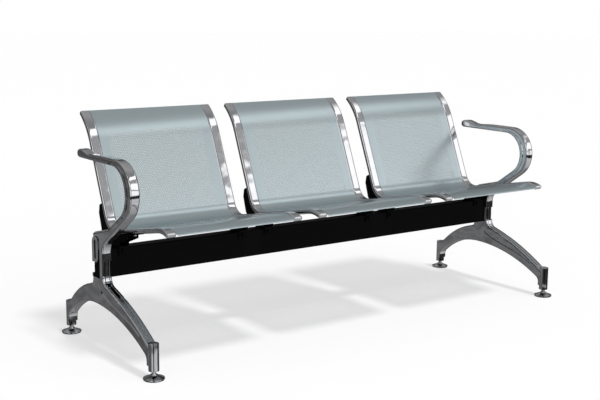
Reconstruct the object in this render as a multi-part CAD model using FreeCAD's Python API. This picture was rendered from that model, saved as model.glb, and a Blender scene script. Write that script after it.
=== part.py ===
# Three-seat beam seating for a waiting room, in millimetres.
# One steel beam carries three seats and stands on two cast legs. Cast arms close over the beam ends.
# The origin is on the floor, at the centre of the rectangle that the four feet make.
# X runs along the beam, -Y is the side that people sit on, and Z is up.
import FreeCAD, Part
import math
import os
from FreeCAD import Vector

# Overall layout
SEAT_COUNT = 3
SEAT_PITCH = 580.0
LEG_TO_SEAT = 302.0
FOOT_SPREAD = 600.0

# Beam, a rectangular steel tube
BEAM_DEPTH = 50.0
BEAM_HEIGHT = 96.0
BEAM_WALL = 2.0
BEAM_CORNER = 5.0
BEAM_FRONT = 26.5
BEAM_BOTTOM = 252.0
CAP_FLANGE = 2.5
CAP_PLUG = 10.0
CAP_WALL = 2.5
CAP_FIT = 0.2

# Seat curve, seen from the side: front lip, front roll, pan, bend, back and top roll
PAN_SLOPE = 11.0
BACK_RECLINE = 23.0
BEND_RADIUS = 60.0
BEND_CORNER_Y = 88.2
BEND_CORNER_Z = 394.0
FRONT_REACH = 309.0
FRONT_ROLL_RADIUS = 113.0
FRONT_ROLL_TURN = 35.0
FRONT_LIP_RADIUS = 8.0
FRONT_LIP_TURN = 50.0
BACK_STRAIGHT = 264.0
TOP_ROLL_RADIUS = 225.0
TOP_ROLL_TURN = 32.0

# Seat pieces
SHEET_THICKNESS = 1.5
TRIM_SPACING = 476.0
TRIM_WIDTH = 37.0
TRIM_PROUD = 3.5
TRIM_BELOW = 13.5
TRIM_EDGE_RADIUS = 7.0
TRIM_END_RADIUS = 6.0
TRIM_GROOVE = 12.0
GROOVE_FIT = 0.1
SHEET_END_FIT = 0.3
GRID_MARGIN = 10.0
GRID_PITCH = 30.0
GRID_OPENING = 15.0

# Seat brackets, pressed channels that follow the underside of the trims
BRACKET_PLATE = 5.0
BRACKET_FLANGE = 4.0
BRACKET_FRONT = -46.0
BRACKET_NOSE = 16.0
BRACKET_THROAT_REACH = 6.0
BRACKET_THROAT_RISE = 17.0
FLANGE_FRONT = -83.0
BRACKET_TOP = 480.0
BRACKET_HEEL_Y = 138.0
BRACKET_HEEL_Z = 390.0
BRACKET_BACK_Y = 156.0
BRACKET_BACK_Z = 446.0
BRACKET_TOP_WIDTH = 12.0
BRACKET_TOP_FALL = 6.0
BEAM_GAP = 0.3
PAN_SCREW_INSET = 24.0
PAN_SCREW_EDGE = 13.0
TAB_WIDTH = 36.0
TAB_CENTRE_Y = -60.0

# Saddles that hold the brackets on the beam
SADDLE_PLATE = 5.0
SADDLE_SIDE_FIT = 0.3
SADDLE_DROP = 26.0
SADDLE_BOLT_DROP = 12.0
EAR_HEIGHT = 32.0
EAR_DEPTH = 32.0
EAR_BOLT_RISE = 20.0

# Threads and bolt heads
BOLT_RADIUS = 4.0
BOLT_HOLE_FIT = 0.3
BOLT_HEAD_AF = 13.0
BOLT_HEAD_HEIGHT = 5.3
NUT_HEIGHT = 6.5
BOLT_TAIL = 3.0
SOCKET_AF = 6.0
SOCKET_DEPTH = 5.0
THREAD_FIT = 0.05
SCREW_RADIUS = 3.0
SCREW_HEAD_RADIUS = 5.5
SCREW_HEAD_HEIGHT = 2.6
PAN_NUT_HEIGHT = 5.0
PAN_SCREW_TAIL = 7.0
TRIM_SCREW_SHIFT = 5.0
TRIM_SCREW_Y = (-75.0, 12.0)
TRIM_SCREW_BITE = 5.0
TRIM_SCREW_SPARE = 0.5

# Legs, castings
CASTING_WIDTH = 36.0
POST_REAR_WALL = 5.5
SEAM_RISE = 43.0
PRONG_FOOT_RISE = 8.0
LEG_REAR_RISE = 12.0
ARCH_TOP_Y = 60.0
ARCH_TOP_Z = 161.5
ARCH_FRONT_RADIUS = 690.0
ARCH_REAR_RADIUS = 320.0
ARCH_CORNER = 22.0
BOSS_RADIUS = 17.0
BOSS_BOTTOM = 28.0
BOSS_TOP = 120.0
BOSS_DOME = 4.0
LEG_EDGE = 6.0
FRONT_CREST_TOP = 236.0
FRONT_CREST_MIDDLE = (-140.0, 187.0)
FRONT_CREST_END = 101.0
FRONT_CREST_FILLET = 28.0
REAR_CREST_TOP = 227.0
REAR_CREST_MIDDLE = (176.0, 195.5)
REAR_CREST_DIP = (264.0, 131.0)
REAR_CREST_END = 115.0
REAR_CREST_FILLET = 20.0
REAR_DIP_FILLET = 40.0
LEG_GROOVE_LINE = ((20.0, 210.0), (-22.0, 194.0), (-120.0, 168.0), (-240.0, 126.0))
LEG_GROOVE_HEIGHT = 10.0
LEG_GROOVE_DEPTH = 3.0
RIB_WIDTH = 12.0
RIB_GROOVE_WIDTH = 4.0
RIB_GROOVE_DEPTH = 2.5
RIB_END = -268.0

# Arms, castings
ARM_TIP_Y = 183.0
ARM_REST_Z = 657.5
ARM_REST_THICKNESS = 20.5
ARM_REST_RISE = 3.0
REST_LEVEL_FRONT = 123.0
REST_LEVEL_REAR = 75.0
KNOB_RISE = 9.5
KNOB_LENGTH = 30.0
KNOB_UNDERSIDE = 18.0
ARM_LOOP_Y = -70.5
ARM_LOOP_SHIFT = 24.5
ARM_LOOP_SHARE = 0.404
ARM_LOOP_WALL = 19.0
CROTCH_REACH = 65.0
CROTCH_RISE = 82.3
CROTCH_RADIUS = 60.0
ELBOW_RISE = 14.5
ARM_ELBOW_RADIUS = 45.0
ARM_EDGE = 8.0
ARM_GROOVE_WIDTH = 6.0
ARM_GROOVE_DEPTH = 2.5
ARM_GROOVE_START = 70.0
SADDLE_RISE = 58.0
SADDLE_TOP_INSET = 18.0
SADDLE_SHOULDER = 28.0
SADDLE_BULGE_DROP = 9.0
SADDLE_BULGE_INSET = 5.0
END_PLATE = 5.0
RING_BOTTOM_RISE = 50.0
RING_WIDTH = 44.0
RING_HEIGHT = 88.0
SLOT_WIDTH = 11.0
SLOT_HEIGHT = 66.0
SLOT_EXTRA = 12.0
POCKET_ROOM = 3.0
POCKET_FIT = 0.5

# Leg bolts, up through the leg and the beam into the arm
LEG_BOLT_RADIUS = 4.0
LEG_BOLT_HEAD_RADIUS = 6.5
LEG_BOLT_HEAD_HEIGHT = 8.0
LEG_BOLT_SEAT = 186.0
LEG_BOLT_SPACING = 24.0
LEG_BOLT_INSET = 8.0
LEG_BOLT_GRIP = 30.0
LEG_BOLT_HOLE_SPARE = 4.0
CUT_SPARE = 20.0

# Levelling feet
STUD_RADIUS = 5.0
STUD_RUN_FIT = 0.05
STUD_ENGAGED = 46.0
COLLAR_RADIUS = 7.0
COLLAR_TOP = 23.0
DISC_RADIUS = 34.0
DISC_TOP = 17.0
DISC_RIM = 3.0
NECK_WIDTH = 4.0
NECK_HEIGHT = 2.0
PAD_THICKNESS = 3.0
PAD_INSET = 1.5
FOOT_BORE_SPARE = 6.0

# Values that follow from the driving dimensions
LEG_X = (SEAT_COUNT - 1) * SEAT_PITCH / 2 + LEG_TO_SEAT
CASTING_HALF = CASTING_WIDTH / 2
POST_OUTER = LEG_X + CASTING_HALF
BEAM_REAR = BEAM_FRONT + BEAM_DEPTH
BEAM_TOP = BEAM_BOTTOM + BEAM_HEIGHT
BEAM_CENTRE_Y = BEAM_FRONT + BEAM_DEPTH / 2
CAP_FACE = POST_OUTER - END_PLATE - POCKET_FIT
BEAM_END = CAP_FACE - CAP_FLANGE
PRONG_FRONT = BEAM_FRONT - CASTING_HALF
POST_REAR = BEAM_REAR + POST_REAR_WALL
FOOT_Y = FOOT_SPREAD / 2
TRIM_HALF = TRIM_WIDTH / 2
TRIM_OFFSET = TRIM_SPACING / 2
WEB_FACE = TRIM_OFFSET - TRIM_HALF - SADDLE_SIDE_FIT - BRACKET_PLATE
PAN_SCREW_X = WEB_FACE - PAN_SCREW_INSET
TAB_END = PAN_SCREW_X - PAN_SCREW_EDGE
SADDLE_BOLT_Z = BEAM_TOP - SADDLE_BOLT_DROP
EAR_BOLT_Z = BEAM_TOP + EAR_BOLT_RISE
PRONG_FOOT = BEAM_BOTTOM + PRONG_FOOT_RISE
SEAM_HEIGHT = BEAM_BOTTOM + SEAM_RISE
SADDLE_TOP = BEAM_TOP + SADDLE_RISE
RING_BOTTOM = BEAM_BOTTOM + RING_BOTTOM_RISE
STUD_BOTTOM = PAD_THICKNESS + DISC_RIM


def block(x0, x1, y0, y1, z0, z1):
    return Part.makeBox(x1 - x0, y1 - y0, z1 - z0, Vector(x0, y0, z0))


def rod(x, y, z, radius, length, direction):
    return Part.makeCylinder(radius, length, Vector(x, y, z), direction)


def hexagon(x, y, z, across_flats, height, direction):
    """A hexagonal prism that starts at a point and runs along a direction."""
    corner = across_flats / math.sqrt(3)
    if abs(direction.z) > 0.5:
        first, second = Vector(1, 0, 0), Vector(0, 1, 0)
    elif abs(direction.y) > 0.5:
        first, second = Vector(1, 0, 0), Vector(0, 0, 1)
    else:
        first, second = Vector(0, 1, 0), Vector(0, 0, 1)
    centre = Vector(x, y, z)
    points = []
    for k in range(7):
        angle = math.radians(60 * k)
        points.append(centre + first * (corner * math.cos(angle)) + second * (corner * math.sin(angle)))
    return Part.Face(Part.makePolygon(points)).extrude(direction * height)


def side_point(y, z):
    return Vector(0, y, z)


def side_line(start, end):
    return Part.LineSegment(side_point(*start), side_point(*end)).toShape()


def side_spline(points, start_direction=None, end_direction=None):
    """A smooth curve through side-view points, with its end directions where they are given."""
    curve = Part.BSplineCurve()
    through = [side_point(*point) for point in points]
    if start_direction and end_direction:
        curve.interpolate(Points=through, InitialTangent=side_point(*start_direction),
                          FinalTangent=side_point(*end_direction))
    else:
        curve.interpolate(Points=through)
    return curve.toShape()


def plate(edges, x0, x1):
    """A closed side-view outline, carried from x0 to x1."""
    face = Part.Face(Part.Wire(Part.__sortEdges__(edges)))
    solid = face.extrude(Vector(x1 - x0, 0, 0))
    solid.translate(Vector(x0, 0, 0))
    return solid


def rounded(solid, radius, wanted):
    """Rounds the edges of a solid that the wanted function picks."""
    edges = [edge for edge in solid.Edges if wanted(edge)]
    return solid.makeFillet(radius, edges) if edges else solid


def seat_path():
    """The seat curve from the front tip to its top edge, as (kind, y, z, heading, size, turn)."""
    pan = math.radians(-PAN_SLOPE)
    back = math.radians(90 - BACK_RECLINE)
    bend_turn = back - pan
    tangent = BEND_RADIUS * math.tan(bend_turn / 2)
    front_turn = math.radians(FRONT_ROLL_TURN)
    start_heading = pan + front_turn
    roll_reach = FRONT_ROLL_RADIUS * (math.sin(start_heading) - math.sin(pan))
    pan_start_y = -FRONT_REACH + roll_reach
    pan_length = (BEND_CORNER_Y - pan_start_y) / math.cos(pan) - tangent
    pan_start_z = BEND_CORNER_Z - (pan_length + tangent) * math.sin(pan)
    y = -FRONT_REACH
    z = pan_start_z - FRONT_ROLL_RADIUS * (math.cos(pan) - math.cos(start_heading))
    heading = start_heading
    path = []
    for kind, size, turn in (
            ("arc", FRONT_ROLL_RADIUS, -front_turn),
            ("line", pan_length, 0.0),
            ("arc", BEND_RADIUS, bend_turn),
            ("line", BACK_STRAIGHT, 0.0),
            ("arc", TOP_ROLL_RADIUS, -math.radians(TOP_ROLL_TURN))):
        path.append((kind, y, z, heading, size, turn))
        y, z, heading = path_step(path[-1], 1.0, 0.0)
    return path


def lip_path(path):
    """The lip that turns down from the front tip of the seat curve, in the same form as the curve."""
    kind, y, z, heading, size, turn = path[0]
    start = heading + math.radians(FRONT_LIP_TURN)
    lip_y = y - FRONT_LIP_RADIUS * (math.sin(start) - math.sin(heading))
    lip_z = z - FRONT_LIP_RADIUS * (math.cos(heading) - math.cos(start))
    return [("arc", lip_y, lip_z, start, FRONT_LIP_RADIUS, -math.radians(FRONT_LIP_TURN))]


def path_step(segment, share, offset):
    """The point at a share of one segment, moved towards the sitter by an offset, and its heading."""
    kind, y, z, heading, size, turn = segment
    if kind == "line":
        y += size * share * math.cos(heading)
        z += size * share * math.sin(heading)
        ahead = heading
    else:
        side = 1.0 if turn > 0 else -1.0
        centre_y = y - side * size * math.sin(heading)
        centre_z = z + side * size * math.cos(heading)
        ahead = heading + turn * share
        y = centre_y + side * size * math.sin(ahead)
        z = centre_z - side * size * math.cos(ahead)
    return y - offset * math.sin(ahead), z + offset * math.cos(ahead), ahead


def path_edges(path, offset):
    """The edges of the seat curve, moved towards the sitter by an offset."""
    edges = []
    for segment in path:
        start = path_step(segment, 0.0, offset)[:2]
        end = path_step(segment, 1.0, offset)[:2]
        if segment[0] == "line":
            edges.append(side_line(start, end))
        else:
            middle = path_step(segment, 0.5, offset)[:2]
            edges.append(Part.Arc(side_point(*start), side_point(*middle), side_point(*end)).toShape())
    return edges


def strip(path, low, high, x0, x1):
    """A band that follows the seat curve between two offsets, carried from x0 to x1."""
    edges = path_edges(path, low) + path_edges(path, high)
    first, last = path[0], path[-1]
    edges.append(side_line(path_step(first, 0.0, low)[:2], path_step(first, 0.0, high)[:2]))
    edges.append(side_line(path_step(last, 1.0, low)[:2], path_step(last, 1.0, high)[:2]))
    return plate(edges, x0, x1)


def cut_path(path, first, start, last, end):
    """The part of the seat curve from a share of one segment to a share of a later one."""
    result = []
    for index in range(first, last + 1):
        kind, y, z, heading, size, turn = path[index]
        begin = start if index == first else 0.0
        stop = end if index == last else 1.0
        y, z, heading = path_step(path[index], begin, 0.0)
        if kind == "line":
            size *= stop - begin
        result.append((kind, y, z, heading, size, turn * (stop - begin)))
    return result


def pan_height(y):
    """The height of the pan's upper face at a given y."""
    return BEND_CORNER_Z + (BEND_CORNER_Y - y) * math.tan(math.radians(PAN_SLOPE))


def make_sheet(path):
    """The sheet of a seat whose centre is at x = 0, with its lip, screw holes and grid of openings."""
    half = TRIM_OFFSET - TRIM_HALF + TRIM_GROOVE - SHEET_END_FIT
    clear = TRIM_OFFSET - TRIM_HALF - SHEET_END_FIT
    sheet = strip(path, -SHEET_THICKNESS, 0.0, -half, half)
    sheet = sheet.fuse(strip(lip_path(path), -SHEET_THICKNESS, 0.0, -clear, clear)).removeSplitter()
    cuts = grid_openings(path[1]) + grid_openings(path[3])
    for side in (-1, 1):
        cuts.append(pan_axis_rod(side * PAN_SCREW_X, TAB_CENTRE_Y, -SHEET_THICKNESS - 1.0,
                                 SCREW_RADIUS + BOLT_HOLE_FIT, SHEET_THICKNESS + 2.0))
    return sheet.cut(group(cuts))


def grid_openings(segment):
    """Bars that cut a plain grid of square openings through a straight part of the sheet."""
    length = segment[4]
    rows = int(length / GRID_PITCH)
    columns = int(2 * (PAN_SCREW_X - GRID_MARGIN) / GRID_PITCH)
    bars = []
    for row in range(rows):
        place = length / 2 + (row - (rows - 1) / 2) * GRID_PITCH
        low_share = (place - GRID_OPENING / 2) / length
        high_share = (place + GRID_OPENING / 2) / length
        piece = cut_path([segment], 0, low_share, 0, high_share)
        for column in range(columns):
            x0 = (column - (columns - 1) / 2) * GRID_PITCH - GRID_OPENING / 2
            bars.append(strip(piece, -SHEET_THICKNESS - 1.0, 1.0, x0, x0 + GRID_OPENING))
    return bars


def pan_normal():
    slope = math.radians(PAN_SLOPE)
    return Vector(0, math.sin(slope), math.cos(slope))


def pan_axis_rod(x, y, offset, radius, length):
    """A round bar square to the pan, through a point of its upper face, from an offset upwards."""
    start = Vector(x, y, pan_height(y)) + pan_normal() * offset
    return Part.makeCylinder(radius, length, start, pan_normal())


def make_trim(path, centre, side):
    """A side trim with a groove that takes the edge of the sheet."""
    middle = centre + side * TRIM_OFFSET
    body = strip(path, -TRIM_BELOW, TRIM_PROUD, middle - TRIM_HALF, middle + TRIM_HALF)
    for corner in end_corners(path):
        body = rounded(body, TRIM_END_RADIUS, lambda edge: runs_across_at(edge, corner))
    body = rounded(body, TRIM_EDGE_RADIUS, lambda edge: runs_in_side_plane(edge, middle, TRIM_HALF))
    inner = middle - side * TRIM_HALF
    deep = inner + side * TRIM_GROOVE
    low, high = sorted((inner - side, deep))
    body = body.cut(strip(path, -SHEET_THICKNESS - GROOVE_FIT, GROOVE_FIT, low, high))
    x = centre + side * (TRIM_OFFSET + TRIM_SCREW_SHIFT)
    for y in TRIM_SCREW_Y:
        body = body.cut(pan_axis_rod(x, y, -TRIM_BELOW - 1.0, SCREW_RADIUS + THREAD_FIT,
                                     TRIM_SCREW_BITE + TRIM_SCREW_SPARE + 1.0))
    return body


def runs_in_side_plane(edge, middle, half):
    box = edge.BoundBox
    return box.XLength < 0.01 and abs(abs(box.XMin - middle) - half) < 0.01


def end_corners(path):
    """The four corners that a trim's side view has at the ends of the seat curve."""
    return [path_step(path[index], share, offset)[:2]
            for index, share in ((0, 0.0), (-1, 1.0)) for offset in (-TRIM_BELOW, TRIM_PROUD)]


def bracket_path(path, front):
    """The part of the seat curve that a bracket follows, from a given y of its front to its top."""
    under = -TRIM_BELOW
    front_share = share_at_y(path[1], front, under)
    top_share = share_at_z(path[3], BRACKET_TOP, under)
    return cut_path(path, 1, front_share, 3, top_share)


def bracket_outline(path):
    """The side view of a bracket web, under the trim from its nose to its top."""
    under = -TRIM_BELOW
    upper = bracket_path(path, BRACKET_FRONT)
    edges = path_edges(upper, under)
    nose = path_step(upper[0], 0.0, under)[:2]
    top = path_step(upper[-1], 1.0, under)[:2]
    chin = (nose[0], nose[1] - BRACKET_NOSE)
    rest = BEAM_TOP + BEAM_GAP
    throat = (BEAM_FRONT - BRACKET_THROAT_REACH, rest + BRACKET_THROAT_RISE)
    shoulder = (top[0] + BRACKET_TOP_WIDTH, top[1] - BRACKET_TOP_FALL)
    corners = [nose, chin, throat, (BEAM_FRONT, rest), (BEAM_REAR, rest), (BRACKET_HEEL_Y, BRACKET_HEEL_Z),
               (BRACKET_BACK_Y, BRACKET_BACK_Z), shoulder, top]
    return edges + outline_edges(corners)


def share_at_y(segment, y, offset):
    start = path_step(segment, 0.0, offset)[0]
    end = path_step(segment, 1.0, offset)[0]
    return (y - start) / (end - start)


def share_at_z(segment, z, offset):
    start = path_step(segment, 0.0, offset)[1]
    end = path_step(segment, 1.0, offset)[1]
    return (z - start) / (end - start)


def web_places():
    """The inner and outer webs of a bracket, as distances from the seat's centre."""
    outer = TRIM_OFFSET + TRIM_HALF
    return (WEB_FACE, WEB_FACE + BRACKET_PLATE), (outer - BRACKET_PLATE, outer)


def make_bracket(path, centre, side):
    """A channel of two webs and a flange, with a tab that the pan is screwed to."""
    edges = bracket_outline(path)
    (inner_low, inner_high), (outer_low, outer_high) = web_places()

    def span(low, high):
        return sorted((centre + side * low, centre + side * high))

    outer_web = plate(edges, *span(outer_low, outer_high))
    inner_web = plate(edges, *span(inner_low, inner_high))
    flange = strip(bracket_path(path, FLANGE_FRONT), -TRIM_BELOW - BRACKET_FLANGE, -TRIM_BELOW,
                   *span(inner_low, outer_high))
    tab_path = cut_path(path, 1, share_at_y(path[1], TAB_CENTRE_Y - TAB_WIDTH / 2, 0.0),
                        1, share_at_y(path[1], TAB_CENTRE_Y + TAB_WIDTH / 2, 0.0))
    seat_face = -SHEET_THICKNESS
    tab = strip(tab_path, seat_face - BRACKET_FLANGE, seat_face, *span(TAB_END, inner_high))
    riser = strip(tab_path, -TRIM_BELOW - BRACKET_FLANGE, seat_face, *span(inner_low, inner_high))
    bracket = outer_web.fuse([inner_web, flange, tab, riser]).removeSplitter()
    bracket = bracket.cut(rod(centre + side * (inner_low - 1.0), BEAM_CENTRE_Y, EAR_BOLT_Z,
                              BOLT_RADIUS + BOLT_HOLE_FIT, outer_high - inner_low + 2.0, Vector(side, 0, 0)))
    screws = [(PAN_SCREW_X, TAB_CENTRE_Y, -SHEET_THICKNESS)]
    screws += [(TRIM_OFFSET + TRIM_SCREW_SHIFT, y, -TRIM_BELOW) for y in TRIM_SCREW_Y]
    for distance, y, face in screws:
        bracket = bracket.cut(pan_axis_rod(centre + side * distance, y, face - BRACKET_FLANGE - 1.0,
                                           SCREW_RADIUS + BOLT_HOLE_FIT, BRACKET_FLANGE + 2.0))
    return bracket


def make_saddle(centre, side):
    """A pressed saddle over the beam, with two ears that stand between the bracket's webs."""
    (inner_low, inner_high), (outer_low, outer_high) = web_places()
    low = inner_high + SADDLE_SIDE_FIT
    high = outer_low - SADDLE_SIDE_FIT
    x0, x1 = sorted((centre + side * low, centre + side * high))
    top = block(x0, x1, BEAM_FRONT - SADDLE_PLATE, BEAM_REAR + SADDLE_PLATE,
                BEAM_TOP, BEAM_TOP + SADDLE_PLATE)
    front = block(x0, x1, BEAM_FRONT - SADDLE_PLATE, BEAM_FRONT, BEAM_TOP - SADDLE_DROP, BEAM_TOP)
    rear = block(x0, x1, BEAM_REAR, BEAM_REAR + SADDLE_PLATE, BEAM_TOP - SADDLE_DROP, BEAM_TOP)
    y0, y1 = BEAM_CENTRE_Y - EAR_DEPTH / 2, BEAM_CENTRE_Y + EAR_DEPTH / 2
    ears = [block(x0, x0 + SADDLE_PLATE, y0, y1, BEAM_TOP, BEAM_TOP + EAR_HEIGHT),
            block(x1 - SADDLE_PLATE, x1, y0, y1, BEAM_TOP, BEAM_TOP + EAR_HEIGHT)]
    saddle = top.fuse([front, rear] + ears).removeSplitter()
    ear_hole = rod(x0 - 1.0, BEAM_CENTRE_Y, EAR_BOLT_Z, BOLT_RADIUS + BOLT_HOLE_FIT, x1 - x0 + 2.0,
                   Vector(1, 0, 0))
    middle = (x0 + x1) / 2
    beam_hole = rod(middle, BEAM_FRONT - SADDLE_PLATE - 1.0, SADDLE_BOLT_Z, BOLT_RADIUS + BOLT_HOLE_FIT,
                    BEAM_DEPTH + 2 * SADDLE_PLATE + 2.0, Vector(0, 1, 0))
    return saddle.cut(ear_hole).cut(beam_hole)


def saddle_middle(centre, side):
    (inner_low, inner_high), (outer_low, outer_high) = web_places()
    return centre + side * (inner_high + outer_low) / 2


def hex_bolt(x, y, z, grip, direction):
    """A hexagon bolt whose head sits under a point, with a shank that runs past the grip and the nut."""
    head = hexagon(x - direction.x * BOLT_HEAD_HEIGHT, y - direction.y * BOLT_HEAD_HEIGHT, z,
                   BOLT_HEAD_AF, BOLT_HEAD_HEIGHT, direction)
    shank = rod(x, y, z, BOLT_RADIUS, grip + NUT_HEIGHT + BOLT_TAIL, direction)
    return head.fuse(shank)


def hex_nut(x, y, z, direction):
    nut = hexagon(x, y, z, BOLT_HEAD_AF, NUT_HEIGHT, direction)
    return nut.cut(rod(x, y, z, BOLT_RADIUS + THREAD_FIT, NUT_HEIGHT, direction))


def seat_centres():
    first = -(SEAT_COUNT - 1) * SEAT_PITCH / 2
    return [first + SEAT_PITCH * index for index in range(SEAT_COUNT)]


def bracket_seats():
    return [(centre, side) for centre in seat_centres() for side in (-1, 1)]


def saddle_fasteners():
    """Bolts through each saddle and the beam, and their nuts behind the beam."""
    bolts, nuts = [], []
    grip = BEAM_DEPTH + 2 * SADDLE_PLATE
    along = Vector(0, 1, 0)
    for centre, side in bracket_seats():
        x = saddle_middle(centre, side)
        bolts.append(hex_bolt(x, BEAM_FRONT - SADDLE_PLATE, SADDLE_BOLT_Z, grip, along))
        nuts.append(hex_nut(x, BEAM_REAR + SADDLE_PLATE, SADDLE_BOLT_Z, along))
    return bolts, nuts


def bracket_fasteners():
    """Bolts that hold each bracket to the ears of its saddle, and their nuts under the seat."""
    bolts, nuts = [], []
    (inner_low, inner_high), (outer_low, outer_high) = web_places()
    for centre, side in bracket_seats():
        along = Vector(-side, 0, 0)
        bolts.append(hex_bolt(centre + side * outer_high, BEAM_CENTRE_Y, EAR_BOLT_Z,
                              outer_high - inner_low, along))
        nuts.append(hex_nut(centre + side * inner_low, BEAM_CENTRE_Y, EAR_BOLT_Z, along))
    return bolts, nuts


def pan_fasteners():
    """Button-head screws that hold the pan to the bracket tabs, and their nuts below."""
    screws, nuts = [], []
    grip = SHEET_THICKNESS + BRACKET_FLANGE
    for centre, side in bracket_seats():
        x = centre + side * PAN_SCREW_X
        seat = Vector(x, TAB_CENTRE_Y, pan_height(TAB_CENTRE_Y))
        shank = pan_axis_rod(x, TAB_CENTRE_Y, -grip - PAN_SCREW_TAIL, SCREW_RADIUS, grip + PAN_SCREW_TAIL)
        ball_radius = (SCREW_HEAD_RADIUS ** 2 + SCREW_HEAD_HEIGHT ** 2) / (2 * SCREW_HEAD_HEIGHT)
        ball = Part.makeSphere(ball_radius, seat + pan_normal() * (SCREW_HEAD_HEIGHT - ball_radius))
        head = ball.common(pan_axis_rod(x, TAB_CENTRE_Y, 0.0, SCREW_HEAD_RADIUS, SCREW_HEAD_HEIGHT))
        screws.append(head.fuse(shank))
        nut = pan_axis_rod(x, TAB_CENTRE_Y, -grip - PAN_NUT_HEIGHT, SCREW_HEAD_RADIUS, PAN_NUT_HEIGHT)
        bore = pan_axis_rod(x, TAB_CENTRE_Y, -grip - PAN_NUT_HEIGHT, SCREW_RADIUS + THREAD_FIT,
                            PAN_NUT_HEIGHT)
        nuts.append(nut.cut(bore))
    return screws, nuts


def make_beam():
    """The rectangular tube, with the holes for the saddle bolts and the leg bolts."""
    outer = block(-BEAM_END, BEAM_END, BEAM_FRONT, BEAM_REAR, BEAM_BOTTOM, BEAM_TOP)
    outer = rounded(outer, BEAM_CORNER, lambda edge: edge.BoundBox.XLength > BEAM_END)
    inner = block(-BEAM_END - 1.0, BEAM_END + 1.0, BEAM_FRONT + BEAM_WALL, BEAM_REAR - BEAM_WALL,
                  BEAM_BOTTOM + BEAM_WALL, BEAM_TOP - BEAM_WALL)
    beam = outer.cut(inner)
    for centre, side in bracket_seats():
        x = saddle_middle(centre, side)
        beam = beam.cut(rod(x, BEAM_FRONT - 1.0, SADDLE_BOLT_Z, BOLT_RADIUS + BOLT_HOLE_FIT,
                            BEAM_DEPTH + 2.0, Vector(0, 1, 0)))
    for x, y in leg_bolt_places(-1) + leg_bolt_places(1):
        beam = beam.cut(rod(x, y, BEAM_BOTTOM - 1.0, LEG_BOLT_RADIUS + BOLT_HOLE_FIT,
                            BEAM_HEIGHT + 2.0, Vector(0, 0, 1)))
    return beam


def make_cap(side):
    """A plug that closes the end of the beam, hollow behind its face."""
    x0, x1 = sorted((side * BEAM_END, side * CAP_FACE))
    face = block(x0, x1, BEAM_FRONT + 1.0, BEAM_REAR, BEAM_BOTTOM, BEAM_TOP)
    inset = BEAM_WALL + CAP_FIT
    p0, p1 = sorted((side * BEAM_END, side * (BEAM_END - CAP_PLUG)))
    plug = block(p0, p1, BEAM_FRONT + inset, BEAM_REAR - inset, BEAM_BOTTOM + inset, BEAM_TOP - inset)
    inset += CAP_WALL
    hollow = block(p0, p1, BEAM_FRONT + inset, BEAM_REAR - inset, BEAM_BOTTOM + inset, BEAM_TOP - inset)
    return face.fuse(plug.cut(hollow)).removeSplitter()


def arch_height(y):
    """The height of the arch under the leg, from two arcs that meet at its top."""
    radius = ARCH_FRONT_RADIUS if y < ARCH_TOP_Y else ARCH_REAR_RADIUS
    return ARCH_TOP_Z - radius + math.sqrt(radius ** 2 - (y - ARCH_TOP_Y) ** 2)


def arch_arc(from_y, middle_y, to_y):
    return Part.Arc(*[side_point(y, arch_height(y)) for y in (from_y, middle_y, to_y)]).toShape()


def arc_through(start, middle, end):
    return Part.Arc(side_point(*start), side_point(*middle), side_point(*end)).toShape()


def outline_edges(points):
    return [side_line(start, end) for start, end in zip(points[:-1], points[1:])]


def leg_outline():
    """The side view of a leg: cradle under the beam, crests to both feet and the arch below."""
    front_post = (PRONG_FRONT, FRONT_CREST_TOP)
    rear_post = (POST_REAR, REAR_CREST_TOP)
    front_end = (-FOOT_Y, FRONT_CREST_END)
    rear_end = (FOOT_Y, REAR_CREST_END)
    inside = FOOT_Y - BOSS_RADIUS
    low = BOSS_BOTTOM + BOSS_RADIUS
    edges = [arc_through(front_post, FRONT_CREST_MIDDLE, front_end),
             arc_through(rear_post, REAR_CREST_MIDDLE, REAR_CREST_DIP),
             arch_arc(-inside, (ARCH_TOP_Y - inside) / 2, ARCH_TOP_Y),
             arch_arc(ARCH_TOP_Y, (ARCH_TOP_Y + inside) / 2, inside)]
    edges += outline_edges([front_end, (-FOOT_Y, low), (-inside, low), (-inside, arch_height(-inside))])
    edges += outline_edges([(inside, arch_height(inside)), (inside, low), (FOOT_Y, low),
                            rear_end, REAR_CREST_DIP])
    edges += outline_edges([rear_post, (POST_REAR, BEAM_BOTTOM), (BEAM_FRONT, BEAM_BOTTOM),
                            (BEAM_FRONT, PRONG_FOOT), (PRONG_FRONT, PRONG_FOOT), front_post])
    corners = ((front_post, FRONT_CREST_FILLET), (rear_post, REAR_CREST_FILLET),
               (REAR_CREST_DIP, REAR_DIP_FILLET), ((-inside, arch_height(-inside)), ARCH_CORNER),
               ((inside, arch_height(inside)), ARCH_CORNER))
    return edges, corners


def make_leg_body(x0, x1):
    """The leg's outline carried from x0 to x1, with its corners rounded in the side view."""
    edges, corners = leg_outline()
    body = plate(edges, x0, x1)
    for corner, radius in corners:
        body = rounded(body, radius, lambda edge: runs_across_at(edge, corner))
    return body


def runs_across_at(edge, corner):
    """Whether an edge runs along X through a corner of the side view."""
    box = edge.BoundBox
    return box.XLength > 1.0 and math.hypot(box.Center.y - corner[0], box.Center.z - corner[1]) < 0.05


def is_leg_side_edge(edge, x):
    """The long edges of the leg's side faces, without those of the cradle and inside the bosses."""
    box = edge.BoundBox
    at_side = box.XLength < 0.01 and abs(abs(box.XMin - x) - CASTING_HALF) < 0.01
    at_cradle = box.ZMin > BEAM_BOTTOM - 0.01 and box.YMax > PRONG_FRONT + 0.01
    in_boss = box.YLength < 0.01 and abs(abs(box.YMin) - FOOT_Y) < 0.01
    at_foot = box.ZMax < BOSS_BOTTOM + BOSS_RADIUS + 0.01
    return at_side and not (at_cradle or in_boss or at_foot)


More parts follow.
